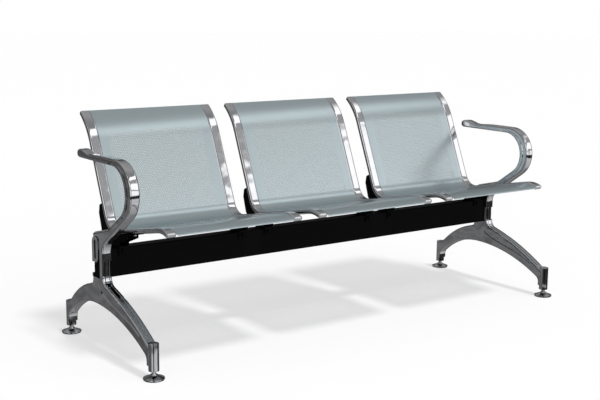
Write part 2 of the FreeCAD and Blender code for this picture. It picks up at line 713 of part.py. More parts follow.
def dome(base, radius, height):
    """A shallow dome that rises from a base point along Z."""
    ball_radius = (radius ** 2 + height ** 2) / (2 * height)
    ball = Part.makeSphere(ball_radius, base + Vector(0, 0, height - ball_radius))
    return ball.common(Part.makeCylinder(radius, height, base))


def leg_groove(x, side):
    """A long shallow recess in a side face of the front leg, below its crest."""
    upper = [(y, z + LEG_GROOVE_HEIGHT / 2) for y, z in LEG_GROOVE_LINE]
    lower = [(y, z - LEG_GROOVE_HEIGHT / 2) for y, z in LEG_GROOVE_LINE]
    edges = [side_spline(upper), side_spline(lower), side_line(upper[0], lower[0]),
             side_line(upper[-1], lower[-1])]
    face = x + side * CASTING_HALF
    return plate(edges, *sorted((face, face - side * LEG_GROOVE_DEPTH)))


def crest_groove(low, high):
    """A groove along the top of the front leg, from the post down to the boss."""
    slab = make_leg_body(low, high)
    core = slab.copy()
    core.translate(Vector(0, RIB_GROOVE_DEPTH, -RIB_GROOVE_DEPTH))
    front = block(low, high, RIB_END, PRONG_FRONT + RIB_GROOVE_DEPTH, BOSS_TOP, PRONG_FOOT)
    return slab.cut(core).common(front)


def prong(x, bottom, top):
    """The half-round column in front of the beam."""
    column = rod(x, BEAM_FRONT, bottom, CASTING_HALF, top - bottom, Vector(0, 0, 1))
    keep = block(x - CASTING_HALF, x + CASTING_HALF, PRONG_FRONT, BEAM_FRONT, bottom, top)
    return column.common(keep)


def leg_bolt_places(side):
    x = side * (LEG_X - LEG_BOLT_INSET)
    return [(x, BEAM_CENTRE_Y + step * LEG_BOLT_SPACING / 2) for step in (-1, 1)]


def make_leg(side):
    """A leg: cradle and half post at the top, an arch between two bosses below."""
    x = side * LEG_X
    up = Vector(0, 0, 1)
    leg = make_leg_body(x - CASTING_HALF, x + CASTING_HALF)
    leg = rounded(leg, LEG_EDGE, lambda edge: is_leg_side_edge(edge, x))
    for step in (-1, 1):
        low, high = sorted((x + step * RIB_WIDTH / 2, x + step * (RIB_WIDTH / 2 + RIB_GROOVE_WIDTH)))
        leg = leg.cut(leg_groove(x, step)).cut(crest_groove(low, high))
    parts = [prong(x, PRONG_FOOT, SEAM_HEIGHT),
             block(x - CASTING_HALF, x + CASTING_HALF, BEAM_REAR, POST_REAR,
                   BEAM_BOTTOM, BEAM_BOTTOM + LEG_REAR_RISE)]
    for y in (-FOOT_Y, FOOT_Y):
        parts.append(rod(x, y, BOSS_BOTTOM, BOSS_RADIUS, BOSS_TOP - BOSS_DOME - BOSS_BOTTOM, up))
        parts.append(dome(Vector(x, y, BOSS_TOP - BOSS_DOME), BOSS_RADIUS, BOSS_DOME))
    leg = leg.fuse(parts).removeSplitter()
    for y in (-FOOT_Y, FOOT_Y):
        leg = leg.cut(rod(x, y, BOSS_BOTTOM, STUD_RADIUS + STUD_RUN_FIT, STUD_ENGAGED + FOOT_BORE_SPARE, up))
    for bolt_x, bolt_y in leg_bolt_places(side):
        leg = leg.cut(rod(bolt_x, bolt_y, ARCH_TOP_Z - CUT_SPARE, LEG_BOLT_RADIUS + BOLT_HOLE_FIT,
                          BEAM_BOTTOM, up))
        leg = leg.cut(rod(bolt_x, bolt_y, ARCH_TOP_Z - CUT_SPARE, LEG_BOLT_HEAD_RADIUS + BOLT_HOLE_FIT,
                          LEG_BOLT_SEAT - ARCH_TOP_Z + CUT_SPARE, up))
    return leg


def make_leg_bolts(side):
    """Socket bolts that pull the arm, the beam and the leg together."""
    bolts = []
    up = Vector(0, 0, 1)
    for x, y in leg_bolt_places(side):
        bottom = LEG_BOLT_SEAT - LEG_BOLT_HEAD_HEIGHT
        head = rod(x, y, bottom, LEG_BOLT_HEAD_RADIUS, LEG_BOLT_HEAD_HEIGHT, up)
        socket = hexagon(x, y, bottom, SOCKET_AF, SOCKET_DEPTH, up)
        shank = rod(x, y, LEG_BOLT_SEAT, LEG_BOLT_RADIUS, BEAM_TOP + LEG_BOLT_GRIP - LEG_BOLT_SEAT, up)
        bolts.append(head.cut(socket).fuse(shank))
    return bolts


def circle_point(centre, radius, degrees):
    angle = math.radians(degrees)
    return centre[0] + radius * math.cos(angle), centre[1] + radius * math.sin(angle)


def circle_arc(centre, radius, start, end):
    points = [circle_point(centre, radius, angle) for angle in (start, (start + end) / 2, end)]
    return Part.Arc(*[side_point(*point) for point in points]).toShape()


def arm_centres():
    """The inner and the outer curve of the arm's front loop, as (centre, radius)."""
    under = ARM_REST_Z - ARM_REST_THICKNESS
    inner_radius = ARM_LOOP_SHARE * (under - BEAM_TOP - CROTCH_RISE)
    outer_radius = inner_radius + ARM_LOOP_WALL
    inner = ((ARM_LOOP_Y, under - inner_radius), inner_radius)
    outer = ((ARM_LOOP_Y - ARM_LOOP_SHIFT, ARM_REST_Z + ARM_REST_RISE - outer_radius), outer_radius)
    return inner, outer


def leaving_angle(centre, radius, point):
    """Where on a circle its tangent to a point below it starts, on the front side, in degrees."""
    away_y = point[0] - centre[0]
    away_z = point[1] - centre[1]
    towards = math.atan2(away_z, away_y) - math.acos(radius / math.hypot(away_y, away_z))
    return math.degrees(towards) + 360.0


def arm_top_edges(inner_top, outer_top):
    """The rest with its raised knob, from the top of the loop round to the loop's underside."""
    under = ARM_REST_Z - ARM_REST_THICKNESS
    knob = (ARM_TIP_Y - KNOB_LENGTH, ARM_REST_Z + KNOB_RISE)
    tip = (ARM_TIP_Y, (under + ARM_REST_Z + KNOB_RISE) / 2)
    knob_under = (ARM_TIP_Y - KNOB_UNDERSIDE, under)
    level = [(ARM_TIP_Y - distance, ARM_REST_Z) for distance in (REST_LEVEL_FRONT, REST_LEVEL_REAR)]
    return [side_spline([outer_top] + level + [knob], (1, 0), (1, 0)),
            side_spline([knob, tip, knob_under], (1, 0), (-1, 0)),
            side_line(knob_under, inner_top)]


def arm_rear_edges(crotch):
    """The saddle from the crotch to the post's rear, and down round the beam to the prong."""
    saddle_end = (BEAM_REAR - SADDLE_TOP_INSET, SADDLE_TOP)
    bulge = (POST_REAR - SADDLE_BULGE_INSET, SADDLE_TOP - SADDLE_BULGE_DROP)
    shoulder = (POST_REAR, SADDLE_TOP - SADDLE_SHOULDER)
    fall = (saddle_end[0] - crotch[0], saddle_end[1] - crotch[1])
    prong_top = SEAM_HEIGHT + CASTING_HALF
    edges = [side_line(crotch, saddle_end), side_spline([saddle_end, bulge, shoulder], fall, (0, -1))]
    return edges + outline_edges([shoulder, (POST_REAR, RING_BOTTOM), (BEAM_REAR, RING_BOTTOM),
                                  (BEAM_REAR, BEAM_TOP), (BEAM_FRONT, BEAM_TOP), (BEAM_FRONT, prong_top),
                                  (PRONG_FRONT, prong_top)])


def make_arm_body(x):
    """The arm casting: rest, front loop, prong and saddle, as one side view carried across its width."""
    (inner, inner_radius), (outer, outer_radius) = arm_centres()
    crotch = (BEAM_FRONT - CROTCH_REACH, BEAM_TOP + CROTCH_RISE)
    elbow = (PRONG_FRONT, BEAM_TOP + ELBOW_RISE)
    inner_leave = leaving_angle(inner, inner_radius, crotch)
    outer_leave = leaving_angle(outer, outer_radius, elbow)
    edges = [circle_arc(inner, inner_radius, 90.0, inner_leave),
             circle_arc(outer, outer_radius, 90.0, outer_leave)]
    edges += arm_top_edges(circle_point(inner, inner_radius, 90.0), circle_point(outer, outer_radius, 90.0))
    edges += arm_rear_edges(crotch)
    edges += [side_line(circle_point(inner, inner_radius, inner_leave), crotch),
              side_line(circle_point(outer, outer_radius, outer_leave), elbow),
              side_line(elbow, (PRONG_FRONT, SEAM_HEIGHT + CASTING_HALF))]
    body = plate(edges, x - CASTING_HALF, x + CASTING_HALF)
    for corner, radius in ((elbow, ARM_ELBOW_RADIUS), (crotch, CROTCH_RADIUS)):
        body = rounded(body, radius, lambda edge: runs_across_at(edge, corner))
    return rounded(body, ARM_EDGE, lambda edge: is_arm_side_edge(edge, x))


def is_arm_side_edge(edge, x):
    """The long edges of the arm's side faces, without those of the post."""
    box = edge.BoundBox
    at_side = box.XLength < 0.01 and abs(abs(box.XMin - x) - CASTING_HALF) < 0.01
    return at_side and box.ZMin > BEAM_TOP - 1.0 and box.ZMax > SADDLE_TOP


def arm_groove(x, side):
    """The groove between the two ridges along a side face of the arm's loop."""
    (inner, inner_radius), (outer, outer_radius) = arm_centres()
    centre = ((inner[0] + outer[0]) / 2, (inner[1] + outer[1]) / 2)
    middle = (inner_radius + outer_radius) / 2
    low, high = middle - ARM_GROOVE_WIDTH / 2, middle + ARM_GROOVE_WIDTH / 2
    end = leaving_angle(outer, outer_radius, (PRONG_FRONT, BEAM_TOP + ELBOW_RISE))
    edges = [circle_arc(centre, low, ARM_GROOVE_START, end), circle_arc(centre, high, ARM_GROOVE_START, end)]
    for angle in (ARM_GROOVE_START, end):
        edges.append(side_line(circle_point(centre, low, angle), circle_point(centre, high, angle)))
    face = x + side * CASTING_HALF
    return plate(edges, *sorted((face, face - side * ARM_GROOVE_DEPTH)))


def oval(y, z, width, height, x0, x1):
    """An upright plate with round ends, carried from x0 to x1."""
    radius = width / 2
    straight = height / 2 - radius
    low, high = sorted((x0, x1))
    ends = [rod(low, y, z + step * straight, radius, high - low, Vector(1, 0, 0)) for step in (-1, 1)]
    return block(low, high, y - radius, y + radius, z - straight, z + straight).fuse(ends)


def make_arm(side):
    """An arm: rest and loop above, a prong before the beam and a ringed end plate over its end."""
    x = side * LEG_X
    face = x + side * CASTING_HALF
    back = face - side * END_PLATE
    arm = make_arm_body(x)
    for groove_side in (1, -1):
        arm = arm.cut(arm_groove(x, groove_side))
    arm = arm.fuse(prong(x, SEAM_HEIGHT, SEAM_HEIGHT + CASTING_HALF))
    low, high = sorted((face, back))
    pocket_top = RING_BOTTOM + RING_HEIGHT + POCKET_ROOM
    arm = arm.cut(block(low - (side < 0), high + (side > 0), BEAM_FRONT + POCKET_FIT, POST_REAR + 1.0,
                        RING_BOTTOM - 1.0, pocket_top))
    ring_y = POST_REAR - RING_WIDTH / 2
    ring_z = RING_BOTTOM + RING_HEIGHT / 2
    ring = oval(ring_y, ring_z, RING_WIDTH, RING_HEIGHT, face, back)
    rear = block(low, high, BEAM_REAR, POST_REAR, RING_BOTTOM, ring_z)
    arm = arm.fuse([ring, rear])
    slot_depth = back - side * SLOT_EXTRA
    slot = oval(ring_y, ring_z, SLOT_WIDTH, SLOT_HEIGHT, face + side, slot_depth)
    arm = arm.cut(slot).removeSplitter()
    for bolt_x, bolt_y in leg_bolt_places(side):
        arm = arm.cut(rod(bolt_x, bolt_y, BEAM_TOP - 1.0, LEG_BOLT_RADIUS + THREAD_FIT,
                          LEG_BOLT_GRIP + LEG_BOLT_HOLE_SPARE + 1.0,
                          Vector(0, 0, 1)))
    return arm


def make_stud(x, y):
    """The threaded stud of a levelling foot, with its collar, inside the leg's boss."""
    up = Vector(0, 0, 1)
    shank = rod(x, y, STUD_BOTTOM, STUD_RADIUS, BOSS_BOTTOM + STUD_ENGAGED - STUD_BOTTOM, up)
    collar = rod(x, y, DISC_TOP, COLLAR_RADIUS, COLLAR_TOP - DISC_TOP, up)
    return shank.fuse(collar)


def make_disc(x, y):
    """The domed metal disc of a levelling foot."""
    flat = PAD_THICKNESS + DISC_RIM
    up = Vector(0, 0, 1)
    neck_radius = COLLAR_RADIUS + NECK_WIDTH
    rim = rod(x, y, PAD_THICKNESS, DISC_RADIUS, DISC_RIM, up)
    cap = Part.makeCone(DISC_RADIUS, neck_radius, DISC_TOP - flat - NECK_HEIGHT, Vector(x, y, flat))
    neck = rod(x, y, DISC_TOP - NECK_HEIGHT, neck_radius, NECK_HEIGHT, up)
    disc = rim.fuse([cap, neck]).removeSplitter()
    return disc.cut(rod(x, y, STUD_BOTTOM, STUD_RADIUS, DISC_TOP, up))


def make_pad(x, y):
    return rod(x, y, 0.0, DISC_RADIUS - PAD_INSET, PAD_THICKNESS, Vector(0, 0, 1))


def trim_screw_places():
    return [(centre + side * (TRIM_OFFSET + TRIM_SCREW_SHIFT), y)
            for centre, side in bracket_seats() for y in TRIM_SCREW_Y]


def trim_screw(x, y):
    seat = -TRIM_BELOW - BRACKET_FLANGE
    head = pan_axis_rod(x, y, seat - SCREW_HEAD_HEIGHT, SCREW_HEAD_RADIUS, SCREW_HEAD_HEIGHT)
    return head.fuse(pan_axis_rod(x, y, seat, SCREW_RADIUS, BRACKET_FLANGE + TRIM_SCREW_BITE))


def group(solids):
    return Part.makeCompound(solids)


def save(name, shape):
    shape.exportStep("parts/" + name + ".step")


def main():
    os.makedirs("parts", exist_ok=True)
    path = seat_path()
    save("beam", make_beam())
    for name, side in (("left", -1), ("right", 1)):
        save("beam_cap_" + name, make_cap(side))
        save("leg_" + name, make_leg(side))
        save("arm_" + name, make_arm(side))
        save("leg_bolts_" + name, group(make_leg_bolts(side)))
        for place, y in (("front", -FOOT_Y), ("rear", FOOT_Y)):
            foot = "foot_%s_%s_" % (place, name)
            save(foot + "stud", make_stud(side * LEG_X, y))
            save(foot + "disc", make_disc(side * LEG_X, y))
            save(foot + "pad", make_pad(side * LEG_X, y))
    sheet = make_sheet(path)
    for number, centre in enumerate(seat_centres(), 1):
        seat = "seat_%d_" % number
        save(seat + "sheet", sheet.translated(Vector(centre, 0, 0)))
        for name, side in (("left", -1), ("right", 1)):
            save(seat + "trim_" + name, make_trim(path, centre, side))
            save(seat + "bracket_" + name, make_bracket(path, centre, side))
            save(seat + "saddle_" + name, make_saddle(centre, side))
    for name, maker in (("saddle", saddle_fasteners), ("bracket", bracket_fasteners),
                        ("pan", pan_fasteners)):
        bolts, nuts = maker()
        save(name + "_bolts", group(bolts))
        save(name + "_nuts", group(nuts))
    save("trim_screws", group([trim_screw(x, y) for x, y in trim_screw_places()]))


main()
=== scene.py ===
import math
from typing import NamedTuple

import bpy
import numpy as np
from mathutils import Matrix, Vector


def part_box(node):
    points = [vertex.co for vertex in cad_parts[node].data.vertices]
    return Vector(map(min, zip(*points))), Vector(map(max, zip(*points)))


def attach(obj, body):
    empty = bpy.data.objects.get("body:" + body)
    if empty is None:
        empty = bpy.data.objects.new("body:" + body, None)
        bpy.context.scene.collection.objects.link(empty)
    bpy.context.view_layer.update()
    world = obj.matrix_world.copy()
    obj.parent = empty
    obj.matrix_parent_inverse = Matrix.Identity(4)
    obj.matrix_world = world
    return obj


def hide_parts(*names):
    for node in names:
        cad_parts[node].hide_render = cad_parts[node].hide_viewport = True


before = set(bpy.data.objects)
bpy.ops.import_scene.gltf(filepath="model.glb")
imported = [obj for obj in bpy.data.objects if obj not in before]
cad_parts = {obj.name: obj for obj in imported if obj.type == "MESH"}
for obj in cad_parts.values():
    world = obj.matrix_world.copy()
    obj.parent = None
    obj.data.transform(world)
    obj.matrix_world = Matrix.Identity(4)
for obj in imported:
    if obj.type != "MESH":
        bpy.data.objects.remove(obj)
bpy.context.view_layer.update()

bl_info = {
    "name": "Waiting-Room Beam Seating",
    "version": (1, 0, 0),
    "blender": (4, 5, 0),
    "location": "3D View > Sidebar > Beam Seating",
    "description": "Perforated seat sheets and finishes for a three-seat bench on one beam",
    "category": "Object",
}

SEATS = ("seat_1", "seat_2", "seat_3")

# The seat curve, the same as in the construction: front lip and roll, pan, bend, back and top roll.
PAN_SLOPE = math.radians(11.0)
BACK_RECLINE = math.radians(23.0)
BEND_RADIUS = 0.060
BEND_CORNER_Y = 0.0882
BEND_CORNER_Z = 0.394
FRONT_REACH = 0.309
FRONT_LIP_RADIUS = 0.008
FRONT_LIP_TURN = math.radians(50.0)
FRONT_ROLL_RADIUS = 0.113
FRONT_ROLL_TURN = math.radians(35.0)
BACK_STRAIGHT = 0.264
TOP_ROLL_RADIUS = 0.225
TOP_ROLL_TURN = math.radians(32.0)
CURVE_STEPS = 8000
# The number of the stretch that ends at each of these places, counted from the tip of the lip.
LIP_END = 1
ROLL_END = 2
PAN_END = 3
BEND_END = 4
TOP_END = 6

# How far a sheet's sides reach into the trims, past the ends of its lip.
SHEET_IN_TRIM = 0.012
# The plain stretch between the pan's holes and the bend.
PAN_MARGIN = 0.030
# Rows of holes are this share of a pitch apart, so that neighbouring holes make even triangles.
ROW_SHARE = math.sin(math.radians(60.0))
# Steps of a sheet's lattice along its plain stretches, and its plain columns on each side.
LIP_STEPS = 4
FRONT_STEPS = 13
BEND_STEPS = 27
TOP_STEPS = 15
SIDE_COLUMNS = 2
# The directions of a hole's six corners, seen from its centre.
HOLE_CORNERS = np.radians([-150.0, -90.0, -30.0, 30.0, 90.0, 150.0])
# Edges that turn by more than this stay sharp.
SHARP_TURN = math.radians(35.0)

# The values between which noise mostly runs, and the share that each finer level of it has of the
# level before.
NOISE_LOW = 0.3
NOISE_HIGH = 0.7
NOISE_ROUGHNESS = 0.55
# The sockets of a Mix node that mixes colours.
MIX_FACTOR = 0
MIX_FIRST = 6
MIX_SECOND = 7
MIX_RESULT = 2

# The camera, fitted to the photograph's lines: place, directions in radians, and lens in millimetres.
CAMERA_PLACE = (-2.4399, -3.1895, 1.1544)
CAMERA_AZIMUTH = -0.63056
CAMERA_DROP = 0.17840
CAMERA_ROLL = 0.010588
CAMERA_LENS = 66.12
SENSOR_WIDTH = 36.0

# Brightness of the studio in front of the bench and behind it by the direction's rise (the sine of
# its angle above the floor), and the dark gaps in the front by its reach along the bench.
STUDIO_FRONT = ((-1.0, 0.35), (-0.30, 0.75), (-0.27, 0.04), (-0.12, 0.02), (-0.10, 1.4), (0.12, 1.4),
                (0.13, 0.2), (0.17, 0.2), (0.18, 1.55), (0.485, 1.55), (0.49, 0.44), (0.66, 0.44),
                (0.68, 1.7), (0.78, 1.7), (0.80, 0.26), (1.0, 0.40))
STUDIO_REAR = ((-1.0, 0.30), (-0.30, 0.10), (-0.22, 0.22), (-0.16, 0.12), (-0.05, 0.03), (0.05, 0.05),
               (0.10, 0.30), (0.30, 0.06), (0.60, 0.30), (1.0, 0.45))
STUDIO_ACROSS = ((-1.0, 0.5), (-0.72, 1.0), (-0.62, 1.0), (-0.58, 0.05), (-0.32, 0.05), (-0.28, 1.0),
                 (0.76, 1.0), (0.80, 0.05), (0.93, 0.05), (1.0, 0.6))
# The front of the studio gives way to its rear between these depths of the direction, which go
# from -1 straight ahead of the bench to 1 straight behind it.
STUDIO_FRONT_END = -0.25
STUDIO_REAR_START = -0.05

# The key lamp: the direction it shines from, its apparent width and its strength.
LAMP_DIRECTION = (0.10, -0.39, 0.92)
LAMP_ANGLE = math.radians(10.0)
LAMP_STRENGTH = 2.0
# Half the side of the floor, and how much of its white the camera sees without any light on it.
FLOOR_REACH = 30.0
FLOOR_LIFT = 0.6


class SheetSizes(bpy.types.PropertyGroup):
    """Sizes of the perforated seat sheets."""

    hole_pitch: bpy.props.FloatProperty(
        name="Hole Pitch", description="Distance between neighbouring holes in a row",
        default=0.0068, min=0.004, max=0.02, unit="LENGTH")
    hole_size: bpy.props.FloatProperty(
        name="Hole Size", description="Width of a hole",
        default=0.0031, min=0.001, max=0.01, unit="LENGTH")
    field_width: bpy.props.FloatProperty(
        name="Field Width", description="Width of the perforated field",
        default=0.374, min=0.1, max=0.42, unit="LENGTH")
    back_field: bpy.props.FloatProperty(
        name="Back Field", description="Height of the perforated field of the back, along the sheet",
        default=0.300, min=0.05, max=0.33, unit="LENGTH")
    pan_field: bpy.props.FloatProperty(
        name="Pan Field", description="Depth of the perforated field of the pan, along the sheet",
        default=0.260, min=0.05, max=0.30, unit="LENGTH")
    thickness: bpy.props.FloatProperty(
        name="Thickness", description="Thickness of the sheet",
        default=0.0015, min=0.0005, max=0.003, unit="LENGTH")


class Finishes(bpy.types.PropertyGroup):
    """Colours of the bench."""

    seat_coat: bpy.props.FloatVectorProperty(
        name="Seat Coat", description="Colour of the seat sheets' powder coat",
        default=(0.43, 0.503, 0.528), size=3, min=0.0, max=1.0, subtype="COLOR")
    bright_metal: bpy.props.FloatVectorProperty(
        name="Bright Metal", description="Tint of the plated legs, arms, trims, feet and fasteners",
        default=(0.64, 0.645, 0.665), size=3, min=0.0, max=1.0, subtype="COLOR")
    dark_coat: bpy.props.FloatVectorProperty(
        name="Dark Coat", description="Colour of the beam, its caps, the brackets and their bolts",
        default=(0.0015, 0.0015, 0.002), size=3, min=0.0, max=1.0, subtype="COLOR")
    rubber: bpy.props.FloatVectorProperty(
        name="Rubber", description="Colour of the foot pads",
        default=(0.03, 0.03, 0.03), size=3, min=0.0, max=1.0, subtype="COLOR")
    floor: bpy.props.FloatVectorProperty(
        name="Floor", description="Colour of the studio floor",
        default=(0.97, 0.97, 0.97), size=3, min=0.0, max=1.0, subtype="COLOR")


# The seat curve

class SeatLine(NamedTuple):
    """The seat's side view: place and heading at many lengths along it, and the lengths at which
    its stretches end, after a first one of zero."""

    along: np.ndarray
    y: np.ndarray
    z: np.ndarray
    heading: np.ndarray
    ends: np.ndarray


def running_sum(slope, step):
    """What a slope adds up to after each step, with the mean of the slopes at the step's ends."""
    return np.concatenate([[0.0], np.cumsum((slope[1:] + slope[:-1]) * step / 2)])


def seat_line():
    """The seat's side view. The heading turns evenly within each stretch, and the place along
    the curve is the running sum of the heading's cosine and sine over small steps."""
    pan, back = -PAN_SLOPE, math.pi / 2 - BACK_RECLINE
    roll_start = pan + FRONT_ROLL_TURN
    pan_start = -FRONT_REACH + FRONT_ROLL_RADIUS * (math.sin(roll_start) - math.sin(pan))
    tangent = BEND_RADIUS * math.tan((back - pan) / 2)
    pan_length = (BEND_CORNER_Y - pan_start) / math.cos(pan) - tangent
    lengths = [FRONT_LIP_RADIUS * FRONT_LIP_TURN, FRONT_ROLL_RADIUS * FRONT_ROLL_TURN, pan_length,
               BEND_RADIUS * (back - pan), BACK_STRAIGHT, TOP_ROLL_RADIUS * TOP_ROLL_TURN]
    turns = [-FRONT_LIP_TURN, -FRONT_ROLL_TURN, 0.0, back - pan, 0.0, -TOP_ROLL_TURN]
    ends = np.concatenate([[0.0], np.cumsum(lengths)])
    headings = roll_start + FRONT_LIP_TURN + np.concatenate([[0.0], np.cumsum(turns)])
    along, step = np.linspace(0.0, ends[TOP_END], CURVE_STEPS + 1, retstep=True)
    heading = np.interp(along, ends, headings)
    y = running_sum(np.cos(heading), step)
    z = running_sum(np.sin(heading), step)
    y += -FRONT_REACH - np.interp(ends[LIP_END], along, y)
    pan_start_z = BEND_CORNER_Z + (BEND_CORNER_Y - pan_start) * math.tan(PAN_SLOPE)
    z += pan_start_z - np.interp(ends[ROLL_END], along, z)
    return SeatLine(along, y, z, heading, ends)


def on_seat(line, x, along, offset):
    """A point of the seat: x across, a length along the curve, and an offset square to it,
    towards the sitter."""
    turn = np.interp(along, line.along, line.heading)
    return np.stack([x, np.interp(along, line.along, line.y) - offset * np.sin(turn),
                     np.interp(along, line.along, line.z) + offset * np.cos(turn)], axis=1)


# The seat sheets

def pan_rows(ends, sizes):
    """The lengths along the curve that divide the front part of a sheet, from its lip to the
    foot of the back, and which of the strips between them are rows of holes."""
    row_depth = sizes.hole_pitch * ROW_SHARE
    count = int(sizes.pan_field / row_depth)
    field = ends[PAN_END] - PAN_MARGIN - row_depth * np.arange(count, -1, -1)
    lip = np.linspace(0.0, ends[LIP_END], LIP_STEPS + 1)[:-1]
    front = np.linspace(ends[LIP_END], field[0], FRONT_STEPS + 1)[:-1]
    bend = np.linspace(field[-1], ends[BEND_END], BEND_STEPS + 1)[1:]
    lines = np.concatenate([lip, front, field, bend])
    holed = np.zeros(len(lines) - 1, bool)
    holed[len(lip) + len(front):][:count] = True
    return lines, holed


def back_rows(ends, sizes):
    """The same for the back part of a sheet, from the foot of the back to the top edge."""
    row_depth = sizes.hole_pitch * ROW_SHARE
    count = int(sizes.back_field / row_depth)
    field = ends[BEND_END] + row_depth * np.arange(count + 1)
    lines = np.concatenate([field, np.linspace(field[-1], ends[TOP_END], TOP_STEPS + 1)[1:]])
    holed = np.zeros(len(lines) - 1, bool)
    holed[:count] = True
    return lines, holed


def sheet_columns(half_width, sizes):
    """The places across a sheet that divide it: its sides, the ends of its lip, and the columns
    of its perforated field, two to a hole."""
    columns = int(sizes.field_width / sizes.hole_pitch)
    half_field = columns * sizes.hole_pitch / 2
    half_lip = half_width - SHEET_IN_TRIM
    field = np.linspace(-half_field, half_field, 2 * columns + 1)
    return np.concatenate([[-half_width, -half_lip], field, [half_lip, half_width]])


def punched_cells(x, s, holed, hole_size):
    """The cells of the lattice that hold holes. A cell spans two columns of one row, and each
    second row of cells is shifted by one column. Six quads join the cell's rim of six lattice
    points to the six corners of the hole, which lie on a circle. The result is the rows and left
    columns of the cells, the places of the corners in x and s, and the quads."""
    nx = len(x)
    row, left = np.meshgrid(np.nonzero(holed)[0], np.arange(SIDE_COLUMNS, nx - 2 - SIDE_COLUMNS),
                            indexing="ij")
    cells = (row + left) % 2 == 0
    row, left = row[cells], left[cells]
    near, far = row * nx + left, (row + 1) * nx + left
    outer = np.stack([near, near + 1, near + 2, far + 2, far + 1, far], axis=1)
    hole_x = x[left + 1][:, None] + hole_size / 2 * np.cos(HOLE_CORNERS)
    hole_s = ((s[row] + s[row + 1]) / 2)[:, None] + hole_size / 2 * np.sin(HOLE_CORNERS)
    hole = nx * len(s) + np.arange(hole_x.size).reshape(hole_x.shape)
    quads = np.stack([outer, np.roll(outer, -1, 1), np.roll(hole, -1, 1), hole], axis=2)
    return row, left, hole_x, hole_s, quads.reshape(-1, 4)


def plain_cells(x, s, row, left, lip_end):
    """The quads of the lattice outside the cells with holes. The lip is narrower than the rest,
    so it has none in the first and the last column."""
    nx = len(x)
    plain = np.ones((len(s) - 1, nx - 1), bool)
    plain[row, left] = plain[row, left + 1] = False
    plain[np.ix_(s[1:] <= lip_end, [0, nx - 2])] = False
    plain_row, plain_left = np.nonzero(plain)
    corner = plain_row * nx + plain_left
    return np.stack([corner, corner + 1, corner + nx + 1, corner + nx], axis=1)


def rim(faces, count):
    """The edges that only one of the faces has, each in that face's direction."""
    edges = np.concatenate([faces[:, [side, (side + 1) % 4]] for side in range(4)])
    ahead, back = edges[:, 0] * count + edges[:, 1], edges[:, 1] * count + edges[:, 0]
    return edges[~np.isin(ahead, back)]


def perforated_sheet(name, centre, half_width, line, rows, sizes):
    """One part of a seat's sheet. Its top is a lattice in x and in length along the seat curve,
    with the holes punched out. A second layer lies one thickness below, and quads along all rims
    join the two; those in the holes take the second material, which is painted shade."""
    s, holed = rows
    x = sheet_columns(half_width, sizes)
    row, left, hole_x, hole_s, ring = punched_cells(x, s, holed, sizes.hole_size)
    flat = plain_cells(x, s, row, left, line.ends[LIP_END])

    grid_x, grid_s = np.meshgrid(x, s)
    all_x = np.concatenate([grid_x.ravel(), hole_x.ravel()]) + centre
    all_s = np.concatenate([grid_s.ravel(), hole_s.ravel()])
    points = np.concatenate([on_seat(line, all_x, all_s, offset) for offset in (0.0, -sizes.thickness)])

    count = len(all_x)
    upper = np.concatenate([flat, ring])
    edges = rim(upper, count)
    walls = np.stack([edges[:, 1], edges[:, 0], edges[:, 0] + count, edges[:, 1] + count], axis=1)
    faces = np.concatenate([upper, upper[:, ::-1] + count, walls])
    # The walls in the holes take the second material: painted shade.
    in_hole = np.zeros(len(faces), np.int32)
    in_hole[2 * len(upper):] = edges[:, 0] >= grid_x.size
    used, faces = np.unique(faces, return_inverse=True)

    mesh = bpy.data.meshes.new(name)
    mesh.from_pydata(points[used].tolist(), [], faces.reshape(-1, 4).tolist())
    mesh.polygons.foreach_set("material_index", in_hole)
    mesh.shade_smooth()
    mesh.set_sharp_from_angle(angle=SHARP_TURN)
    sheet = bpy.data.objects.new(name, mesh)
    bpy.context.scene.collection.objects.link(sheet)
    return sheet


# Nodes and materials

def add_node(tree, kind, inputs, **settings):
    """Adds a node with its settings. Each input is linked to a socket or set to a plain value."""
    node = tree.nodes.new(kind)
    for name, value in settings.items():
        setattr(node, name, value)
    for name, value in inputs.items():
        if isinstance(value, bpy.types.NodeSocket):
            tree.links.new(value, node.inputs[name])
        else:
            node.inputs[name].default_value = value
    return node


def mix_colours(tree, factor, first, second, blend="MIX"):
    """Two colours blended by a factor."""
    node = add_node(tree, "ShaderNodeMix", {MIX_FACTOR: factor, MIX_FIRST: first, MIX_SECOND: second},
                    data_type="RGBA", blend_type=blend)
    return node.outputs[MIX_RESULT]


